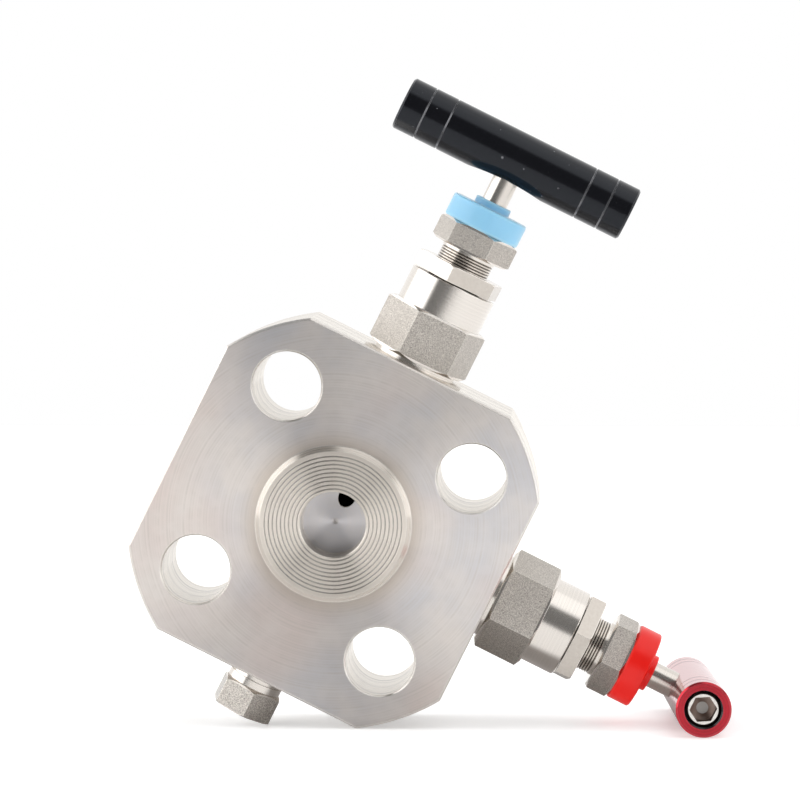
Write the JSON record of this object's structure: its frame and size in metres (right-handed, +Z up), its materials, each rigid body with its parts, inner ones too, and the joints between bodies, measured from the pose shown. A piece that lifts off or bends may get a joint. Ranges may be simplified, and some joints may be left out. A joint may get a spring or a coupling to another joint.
{
  "type": "needle valve",
  "caption": "Square-cut flanged block-and-bleed needle valve: two stems with T-bar handles at right angles, raised face inlet, threaded outlet at the back and a plugged vent port.",
  "frame": {"origin": "centre of the raised face, on the flange axis", "axes": "+Y into the flange from the raised face, which looks along -Y; +Z up as the valve stands on a bench on its plug, one flange corner and the vent handle, to within the 3 degrees that it tips forwards onto the turned handle; the isolate stem leans 26.59 degrees from +Z towards +X and the vent stem points the same angle below +X"},
  "size_m": [0.1702, 0.0728, 0.1872],
  "materials": {
    "flange_steel": "fine turned and lapped stainless steel",
    "fitting_steel": "turned stainless steel, blasted flats",
    "stem_steel": "polished stainless steel",
    "screw_steel": "bright stainless steel set screw",
    "seal": "white PTFE",
    "isolate_cap_plastic": "light blue moulded plastic",
    "vent_cap_plastic": "bright red moulded plastic",
    "isolate_handle_finish": "gloss black finish on turned bar",
    "vent_handle_finish": "crimson anodised look on turned bar"
  },
  "bodies": {
    "valve_body": {"flange_body": "flange_steel", "vent_port_plug": "fitting_steel", "isolate_bonnet_seal": "seal", "isolate_bonnet": "fitting_steel", "isolate_packing_washer": "fitting_steel", "isolate_packing_rings": "seal", "isolate_gland_bush": "fitting_steel", "isolate_packing_bolt": "fitting_steel", "isolate_lock_nut": "fitting_steel", "isolate_dust_cap": "isolate_cap_plastic", "vent_bonnet_seal": "seal", "vent_bonnet": "fitting_steel", "vent_packing_washer": "fitting_steel", "vent_packing_rings": "seal", "vent_gland_bush": "fitting_steel", "vent_packing_bolt": "fitting_steel", "vent_lock_nut": "fitting_steel", "vent_dust_cap": "vent_cap_plastic"},
    "isolate_tip": {"isolate_needle_tip": "stem_steel"},
    "isolate_spindle": {"isolate_stem": "stem_steel", "isolate_handle": "isolate_handle_finish", "isolate_handle_screw": "screw_steel"},
    "vent_tip": {"vent_needle_tip": "stem_steel"},
    "vent_spindle": {"vent_stem": "stem_steel", "vent_handle": "vent_handle_finish", "vent_handle_screw": "screw_steel"}
  },
  "joints": [
    {"name": "isolate_lift", "type": "slide", "parent": "valve_body", "child": "isolate_tip", "axis": [0.4476, 0, 0.8942], "range_m": [0, 0.003]},
    {"name": "isolate_turn", "type": "hinge", "parent": "isolate_tip", "child": "isolate_spindle", "pos_m": [0, 0.021, 0], "axis": [0.4476, 0, 0.8942], "range_deg": [0, 1080]},
    {"name": "vent_lift", "type": "slide", "parent": "valve_body", "child": "vent_tip", "axis": [0.8942, 0, -0.4476], "range_m": [0, 0.003]},
    {"name": "vent_turn", "type": "hinge", "parent": "vent_tip", "child": "vent_spindle", "pos_m": [0, 0.021, 0], "axis": [0.8942, 0, -0.4476], "range_deg": [0, 1080]}
  ],
  "couplings": [
    {"joint": "isolate_lift", "follows": "isolate_turn", "m_per_rad": 0.00015915},
    {"joint": "vent_lift", "follows": "vent_turn", "m_per_rad": 0.00015915}
  ]
}
